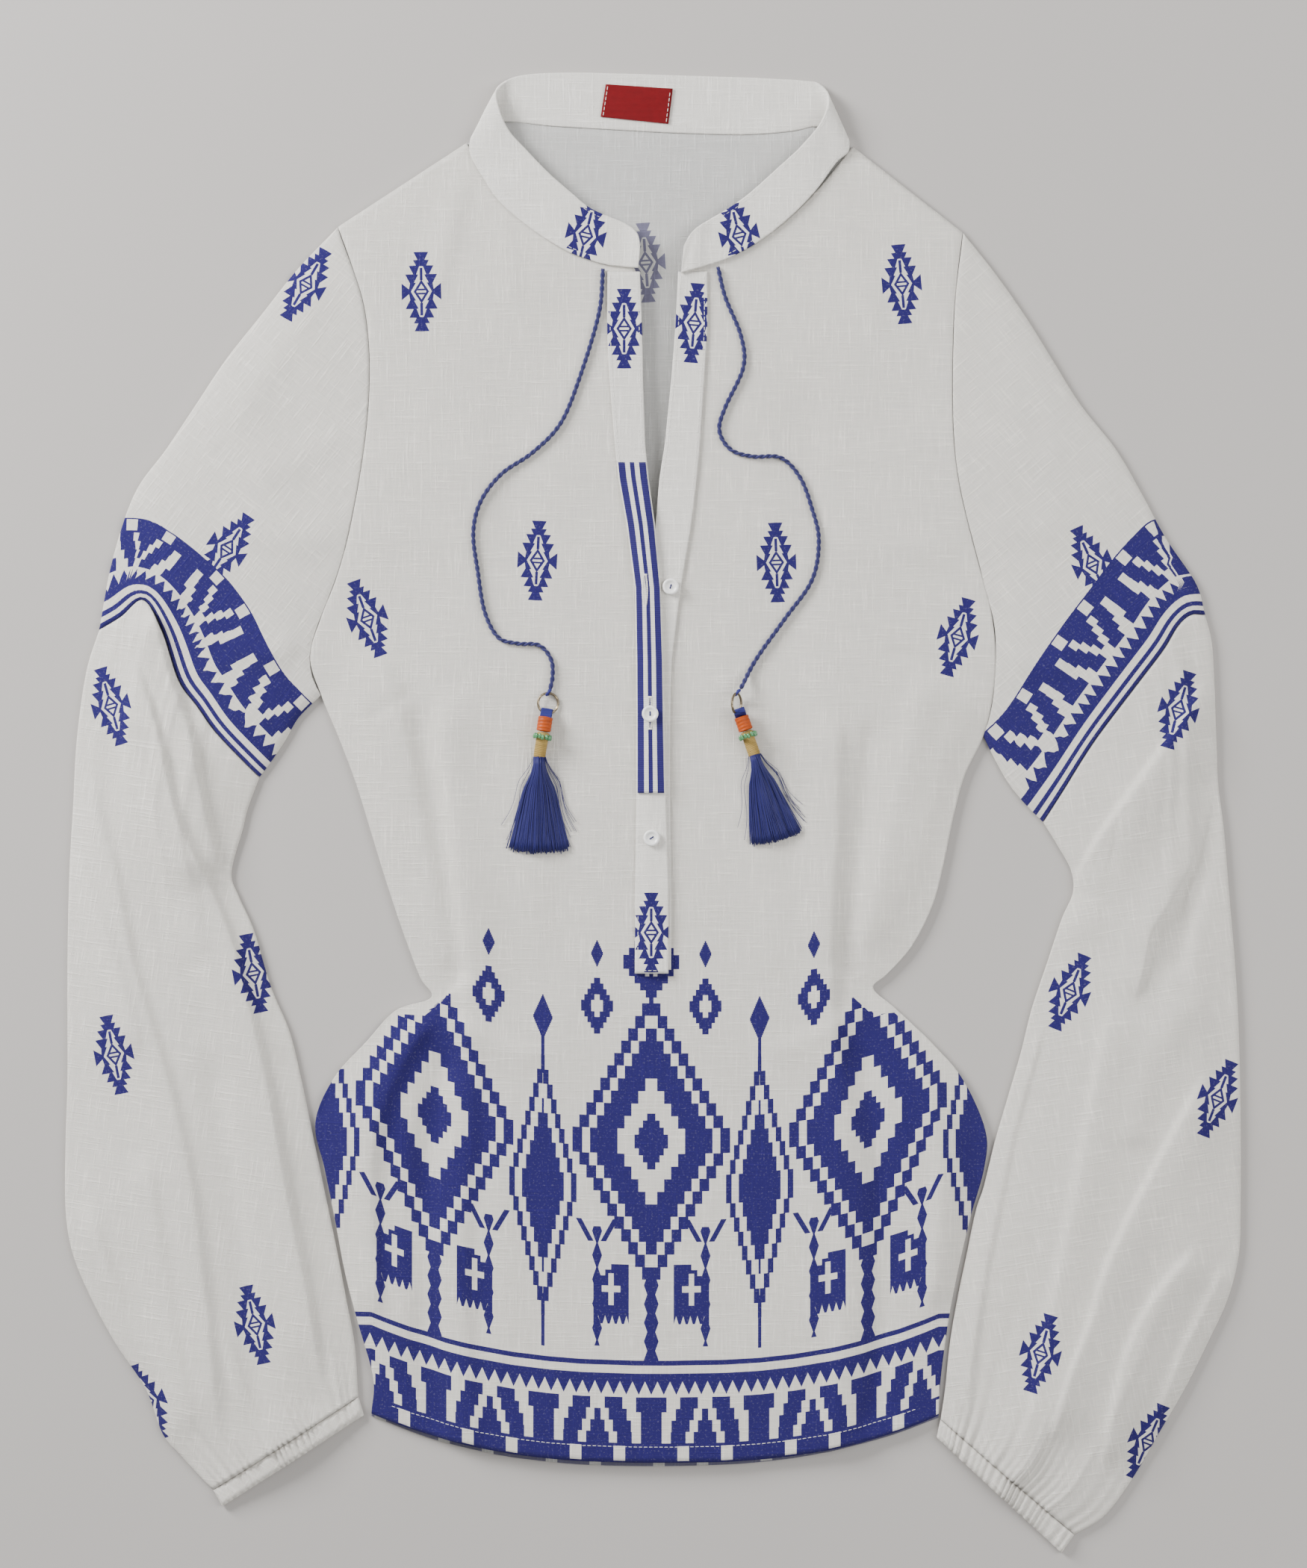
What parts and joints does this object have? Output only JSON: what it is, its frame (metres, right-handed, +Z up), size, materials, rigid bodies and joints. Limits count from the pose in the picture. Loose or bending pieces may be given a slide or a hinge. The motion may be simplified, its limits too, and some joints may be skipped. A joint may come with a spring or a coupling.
{
  "type": "tunic",
  "caption": "Loose cotton tunic laid flat, with a stand collar, slit neck with tape and buttons, full gathered sleeves and two tasselled neck cords.",
  "frame": {"origin": "on the surface the tunic lies on, under the middle of its bounding box", "axes": "+Z up from the surface, out of the front of the tunic; +Y towards the collar; +X to the right of someone who looks down on its front"},
  "size_m": [0.6303, 0.794, 0.0172],
  "materials": {
    "cloth": "off-white slub cotton with blue print, matt",
    "band": "white interlined cotton, matt",
    "tape": "blue and white striped woven tape",
    "label": "red woven satin, plain",
    "button": "white, polished",
    "navy": "twisted navy thread",
    "orange": "smooth orange leather wrap",
    "green": "opaque green glass beads",
    "beige": "beige thread binding",
    "brass": "antique, dark"
  },
  "bodies": {
    "root": {"back_panel": "cloth", "front_panel": "cloth", "sleeve_upper_left": "cloth", "sleeve_upper_right": "cloth", "sleeve_lower_left": "cloth", "sleeve_lower_right": "cloth", "cuff_left": "cloth", "cuff_right": "cloth", "collar": "band", "placket_over": "band", "placket_under": "band", "stripe_tape": "tape", "label": "label", "button_top": "button", "button_middle": "button", "button_bottom": "button", "cord_left": "navy", "cord_right": "navy", "ring_left": "brass", "ring_right": "brass", "tassel_wrap_left": "orange", "tassel_wrap_right": "orange", "tassel_beads_left": "green", "tassel_beads_right": "green", "tassel_binding_left": "beige", "tassel_binding_right": "beige", "tassel_skirt_left": "navy", "tassel_skirt_right": "navy"}
  },
  "joints": []
}
